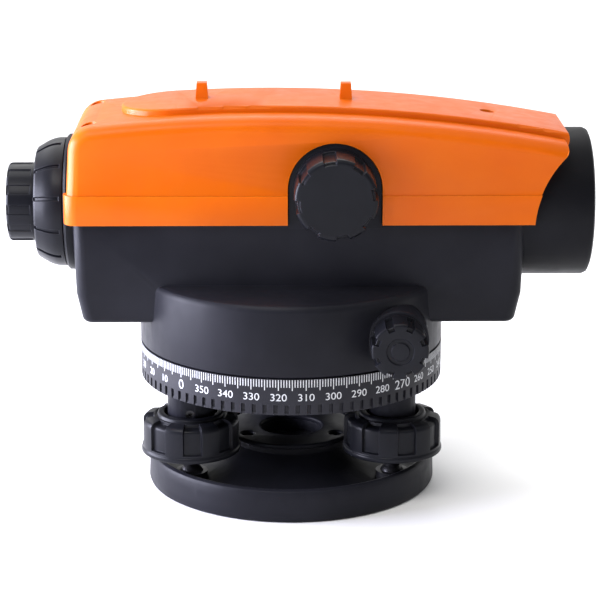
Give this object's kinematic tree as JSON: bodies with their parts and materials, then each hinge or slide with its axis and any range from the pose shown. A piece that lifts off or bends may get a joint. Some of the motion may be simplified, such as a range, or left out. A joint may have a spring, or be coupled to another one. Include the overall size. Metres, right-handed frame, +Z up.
{
  "type": "automatic level",
  "caption": "Surveyor's automatic level: telescope under an orange cover on a drum, degree circle, levelling head and round base.",
  "frame": {"origin": "centre of the tripod thread at the underside of the base plate", "axes": "+Z up along the vertical axis; +X along the line of sight towards the objective; the focusing knob is on the -Y side"},
  "size_m": [0.2002, 0.1172, 0.1417],
  "materials": {
    "black_casting": "die-cast, satin black enamel",
    "circle_black": "satin black enamel with white graduations",
    "black_knob": "semi-matt moulded plastic",
    "orange_plastic": "satin moulded plastic",
    "black_barrel": "satin black anodised",
    "steel": "turned",
    "black_screw": "black oxide",
    "spring_steel": "spring temper",
    "brass": "turned",
    "aluminium": "milled",
    "glass": "polished, coated",
    "vial_liquid": "clear yellow-green liquid",
    "vial_plastic": "moulded",
    "mirror": "silvered glass"
  },
  "bodies": {
    "base": {"base_plate": "black_casting", "tripod_bush": "black_screw", "hub_flange": "black_casting", "hub_flange_screws": "black_screw", "ball_cups": "black_screw"},
    "levelling_head": {"levelling_head": "black_casting", "foot_screw_bushes": "brass", "post_set_screws": "black_screw", "circle_retainer": "steel", "circle_spring": "spring_steel", "vertical_spindle": "steel", "spindle_nut": "steel", "front_foot_balls": "black_screw"},
    "left_foot_screw": {"left_foot_spindle": "steel", "left_foot_knob": "black_knob"},
    "right_foot_screw": {"right_foot_spindle": "steel", "right_foot_knob": "black_knob"},
    "rear_foot": {"rear_foot_ball": "black_screw"},
    "rear_foot_screw": {"rear_foot_spindle": "steel", "rear_foot_knob": "black_knob"},
    "circle": {"horizontal_circle": "circle_black"},
    "clutch_wheel": {"worm_wheel": "brass", "clutch_spring": "spring_steel"},
    "telescope": {"telescope_housing": "black_casting", "axis_bush": "brass", "drum_floor": "black_casting", "top_cover": "orange_plastic", "cover_screws": "steel", "objective_barrel": "black_barrel", "objective_lenses": "glass", "objective_retaining_ring": "black_barrel", "focus_rods": "steel", "focus_bush": "brass", "tangent_bushes": "brass", "eyepiece_tube": "black_barrel", "reticle_holder": "black_barrel", "reticle_glass": "glass", "eyepiece_cover": "black_knob", "compensator_frame": "aluminium", "fixed_prisms": "glass", "damper_magnets": "steel", "suspension_wires": "steel", "vial_housing": "vial_plastic", "vial_screws": "steel", "vial_glass": "glass", "vial_liquid": "vial_liquid", "mirror_bracket": "vial_plastic"},
    "tangent_screw": {"tangent_worm": "steel", "tangent_knobs": "black_knob"},
    "focus_drive": {"focus_knob": "black_knob", "focus_pinion_shaft": "steel"},
    "focus_slide": {"focus_carriage": "aluminium", "focus_lens": "glass"},
    "dioptre": {"dioptre_ring": "black_knob"},
    "eyepiece_slide": {"eyepiece_cell": "black_barrel", "eyepiece_lenses": "glass"},
    "pendulum": {"pendulum_frame": "aluminium", "pendulum_prism": "glass"},
    "mirror": {"mirror_frame": "vial_plastic", "mirror_glass": "mirror"}
  },
  "joints": [
    {"name": "level_tilt", "type": "hinge", "parent": "base", "child": "levelling_head", "pos_m": [0, -0.0202, 0.007], "axis": [1, 0, 0], "range_deg": [-1.89, 1.89]},
    {"name": "rear_foot_travel", "type": "slide", "parent": "levelling_head", "child": "rear_foot", "axis": [0, 0, 1], "range_m": [-0.00201, 0.00201]},
    {"name": "rear_screw_turn", "type": "hinge", "parent": "rear_foot", "child": "rear_foot_screw", "pos_m": [0, 0.0404, 0.025], "axis": [0, 0, 1], "range_deg": [-720, 720]},
    {"name": "left_screw_turn", "type": "hinge", "parent": "levelling_head", "child": "left_foot_screw", "pos_m": [-0.03499, -0.0202, 0.025], "axis": [0, 0, 1], "range_deg": [-720, 720]},
    {"name": "right_screw_turn", "type": "hinge", "parent": "levelling_head", "child": "right_foot_screw", "pos_m": [0.03499, -0.0202, 0.025], "axis": [0, 0, 1], "range_deg": [-720, 720]},
    {"name": "circle_turn", "type": "hinge", "parent": "levelling_head", "child": "circle", "pos_m": [0, 0, 0.045], "axis": [0, 0, 1], "continuous": true},
    {"name": "coarse_swing", "type": "hinge", "parent": "levelling_head", "child": "clutch_wheel", "pos_m": [0, 0, 0.0626], "axis": [0, 0, 1], "continuous": true},
    {"name": "fine_swing", "type": "hinge", "parent": "clutch_wheel", "child": "telescope", "pos_m": [0, 0, 0.074], "axis": [0, 0, 1], "continuous": true},
    {"name": "tangent_turn", "type": "hinge", "parent": "telescope", "child": "tangent_screw", "pos_m": [0.0353, 0, 0.0626], "axis": [0, 1, 0], "continuous": true},
    {"name": "focus_turn", "type": "hinge", "parent": "telescope", "child": "focus_drive", "pos_m": [0.0146, 0, 0.11], "axis": [0, 1, 0], "range_deg": [-144, 144]},
    {"name": "focus_travel", "type": "slide", "parent": "telescope", "child": "focus_slide", "axis": [1, 0, 0], "range_m": [-0.00755, 0.00755]},
    {"name": "dioptre_turn", "type": "hinge", "parent": "telescope", "child": "dioptre", "pos_m": [-0.094, 0, 0.1], "axis": [1, 0, 0], "range_deg": [-160, 160]},
    {"name": "eyepiece_travel", "type": "slide", "parent": "telescope", "child": "eyepiece_slide", "axis": [1, 0, 0], "range_m": [-0.00221, 0.00221]},
    {"name": "compensator_swing", "type": "hinge", "parent": "telescope", "child": "pendulum", "pos_m": [-0.03, 0, 0.112], "axis": [0, 1, 0], "range_deg": [-0.33, 0.33]},
    {"name": "mirror_flip", "type": "hinge", "parent": "telescope", "child": "mirror", "pos_m": [0.013, 0.039, 0.087], "axis": [0, 1, 0], "range_deg": [-45, 15]}
  ],
  "couplings": [
    {"joint": "rear_screw_turn", "follows": "level_tilt", "ratio": -380.76},
    {"joint": "rear_foot_travel", "follows": "level_tilt", "m_per_rad": -0.0606},
    {"joint": "tangent_turn", "follows": "fine_swing", "ratio": 72},
    {"joint": "focus_travel", "follows": "focus_turn", "m_per_rad": -0.003},
    {"joint": "eyepiece_travel", "follows": "dioptre_turn", "m_per_rad": 0.00078782}
  ]
}
